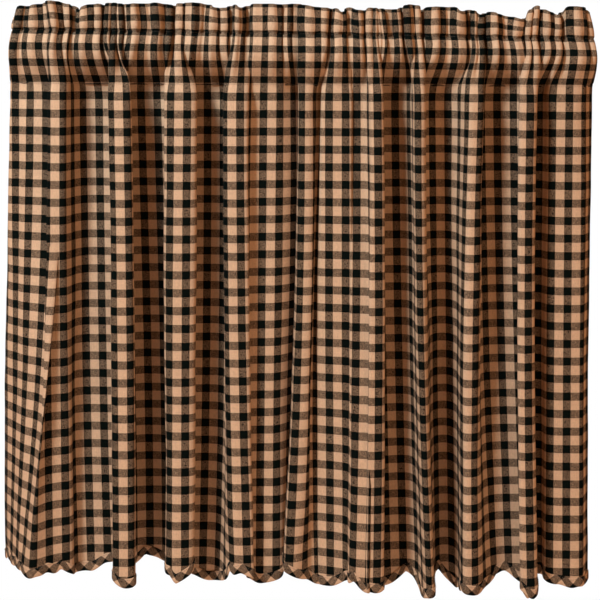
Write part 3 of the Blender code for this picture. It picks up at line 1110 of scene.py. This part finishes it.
def thread_material():
    """Twisted sewing thread."""
    found = bpy.data.materials.get("sewing_thread")
    if found:
        return found
    material = bpy.data.materials.new("sewing_thread")
    material.use_nodes = True
    tree = material.node_tree
    add, maths = new_nodes(tree)
    shader = tree.nodes["Principled BSDF"]
    place = add("ShaderNodeTexCoord")
    texture = add("ShaderNodeTexNoise")
    texture.inputs["Scale"].default_value = 900.0
    tree.links.new(place.outputs["Object"], texture.inputs["Vector"])
    thread = colours().thread
    shade = mix_colours(add, tree, texture.outputs["Fac"], (*[c * 0.6 for c in thread], 1.0),
                        (*[c * 1.5 for c in thread], 1.0))
    tree.links.new(shade, shader.inputs["Base Color"])
    tree.links.new(maths("MULTIPLY_ADD", texture.outputs["Fac"], 0.2, 0.6), shader.inputs["Roughness"])
    return material


PANELS = {}


def panel_of(side):
    """A panel's shape, worked out once."""
    if side not in PANELS:
        tables = {
            "left": (LEFT_FOLDS, LEFT_PLEATS, LEFT_HEM),
            "right": (RIGHT_FOLDS, RIGHT_PLEATS, RIGHT_HEM),
        }
        PANELS[side] = Panel(side, *tables[side])
    return PANELS[side]


class CURTAIN_OT_panels(bpy.types.Operator):
    """Hang both panels of cloth in their folds"""

    bl_idname = "curtain.hang_panels"
    bl_label = "Hang Panels"

    def execute(self, context):
        """Make both sheets."""
        for side in ("left", "right"):
            obj = make_sheet(panel_of(side))
            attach(obj, "root")
            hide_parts(side + "_heading", side + "_panel")
        return {"FINISHED"}


class CURTAIN_OT_bindings(bpy.types.Operator):
    """Bind both scalloped hems"""

    bl_idname = "curtain.bind_hems"
    bl_label = "Bind Hems"

    def execute(self, context):
        """Make both bindings."""
        for side in ("left", "right"):
            obj = make_binding(panel_of(side))
            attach(obj, "root")
            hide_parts(side + "_binding")
        return {"FINISHED"}


class CURTAIN_OT_stitching(bpy.types.Operator):
    """Sew the seams and hems"""

    bl_idname = "curtain.sew_seams"
    bl_label = "Sew Seams"

    def execute(self, context):
        """Make each panel's stitches and make sure its sheet and binding are there."""
        for side in ("left", "right"):
            obj = make_stitching(panel_of(side))
            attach(obj, "root")
            sheet = bpy.data.objects.get(side + "_curtain")
            binding = bpy.data.objects.get(side + "_hem_binding")
            if sheet is None or binding is None:
                raise RuntimeError("hang the panels and bind the hems first")
            panel = panel_of(side)
        return {"FINISHED"}


class CURTAIN_OT_studio(bpy.types.Operator):
    """Set the floor, the white surroundings, the lamps and the camera"""

    bl_idname = "curtain.set_studio"
    bl_label = "Set Studio"

    def execute(self, context):
        """Make the stage."""
        make_floor()
        make_world()
        make_lamps()
        make_camera()
        return {"FINISHED"}


def make_floor():
    """A plain pale floor below the hem."""
    bm = bmesh.new()
    bmesh.ops.create_grid(bm, x_segments=1, y_segments=1, size=FLOOR_HALF)
    for vert in bm.verts:
        vert.co.z = CAD_LOW.z - FLOOR_DROP
    material = bpy.data.materials.new("pale_floor")
    material.use_nodes = True
    tree = material.node_tree
    add, maths = new_nodes(tree)
    place = add("ShaderNodeTexCoord")
    texture = add("ShaderNodeTexNoise")
    texture.inputs["Scale"].default_value = 3.0
    tree.links.new(place.outputs["Object"], texture.inputs["Vector"])
    shade = mix_colours(add, tree, texture.outputs["Fac"], (0.80, 0.80, 0.79, 1.0), (0.84, 0.84, 0.83, 1.0))
    tree.links.new(shade, tree.nodes["Principled BSDF"].inputs["Base Color"])
    tree.nodes["Principled BSDF"].inputs["Roughness"].default_value = 0.9
    floor = finish_mesh("floor", bm, material)


def make_world():
    """A white room that lights the cloth only weakly."""
    world = bpy.data.worlds.new("white_room")
    world.use_nodes = True
    bpy.context.scene.world = world
    tree = world.node_tree
    background = tree.nodes["Background"]
    path = tree.nodes.new("ShaderNodeLightPath")
    strength = tree.nodes.new("ShaderNodeMapRange")
    strength.inputs["To Min"].default_value = studio().surround
    strength.inputs["To Max"].default_value = 1.0
    tree.links.new(path.outputs["Is Camera Ray"], strength.inputs["Value"])
    tree.links.new(strength.outputs[0], background.inputs["Strength"])
    add, maths = new_nodes(tree)
    seen = mix_colours(add, tree, path.outputs["Is Camera Ray"], WARM_SURROUND, WHITE)
    tree.links.new(seen, background.inputs["Color"])


def add_lamp(name, place, aim, size, power, colour):
    """A large soft lamp turned to a point."""
    data = bpy.data.lights.new(name, "AREA")
    data.shape = "RECTANGLE"
    data.size = size[0]
    data.size_y = size[1]
    data.energy = power
    data.color = colour
    lamp = bpy.data.objects.new(name, data)
    lamp.location = place
    lamp.rotation_mode = "QUATERNION"
    lamp.rotation_quaternion = (Vector(aim) - Vector(place)).to_track_quat("-Z", "Y")
    bpy.context.scene.collection.objects.link(lamp)


def make_lamps():
    """A key lamp at the left front, a weak fill, a cool top lamp, a warm low one and one behind."""
    aims = {
        "middle": (CAD_LOW + CAD_HIGH) / 2.0,
        "rod": Vector((0.0, 0.0, 0.0)),
        "hem": Vector((0.0, 0.0, CAD_LOW.z)),
    }
    for lamp in table(LAMP_COLUMNS, LAMPS):
        power = getattr(studio(), lamp["power"]) * lamp["share"]
        add_lamp(lamp["name"], lamp["place"], aims[lamp["aim"]], lamp["size"], power, lamp["colour"])


def make_camera():
    """The camera, level, at the photo's viewing angle."""
    data = bpy.data.cameras.new("camera")
    data.lens = studio().lens
    data.sensor_width = 36.0
    data.shift_y = studio().shift
    camera = bpy.data.objects.new("camera", data)
    camera.location = (0.0, -studio().distance, studio().camera_z)
    camera.rotation_euler = (math.pi / 2.0, 0.0, 0.0)
    bpy.context.scene.collection.objects.link(camera)
    bpy.context.scene.camera = camera
    bpy.context.scene.view_settings.view_transform = "Standard"


class CURTAIN_PT_sidebar(bpy.types.Panel):
    """Sizes, colours and steps of the curtain pair"""

    bl_idname = "CURTAIN_PT_sidebar"
    bl_label = "Cafe Curtain"
    bl_space_type = "VIEW_3D"
    bl_region_type = "UI"
    bl_category = "Curtain"

    def draw(self, context):
        """List the values and the operators."""
        scene = context.scene
        for group in (scene.curtain_sizes, scene.curtain_colours, scene.curtain_studio):
            box = self.layout.box()
            for name in group.__annotations__:
                box.prop(group, name)
        for operator in OPERATORS:
            self.layout.operator(operator.bl_idname)


GROUPS = (
    ("curtain_sizes", CurtainSizes),
    ("curtain_colours", CurtainColours),
    ("curtain_studio", CurtainStudio),
)
OPERATORS = (CURTAIN_OT_studio, CURTAIN_OT_panels, CURTAIN_OT_bindings, CURTAIN_OT_stitching)


def register():
    """Register the classes and the scene's values."""
    for name, group in GROUPS:
        bpy.utils.register_class(group)
        setattr(bpy.types.Scene, name, PointerProperty(type=group))
    for kind in (*OPERATORS, CURTAIN_PT_sidebar):
        bpy.utils.register_class(kind)


def unregister():
    """Take everything away again."""
    for kind in (CURTAIN_PT_sidebar, *reversed(OPERATORS)):
        bpy.utils.unregister_class(kind)
    for name, group in reversed(GROUPS):
        delattr(bpy.types.Scene, name)
        bpy.utils.unregister_class(group)


def main():
    """Make everything."""
    register()
    bpy.ops.curtain.set_studio()
    bpy.ops.curtain.hang_panels()
    bpy.ops.curtain.bind_hems()
    bpy.ops.curtain.sew_seams()


if __name__ == "__main__":
    main()
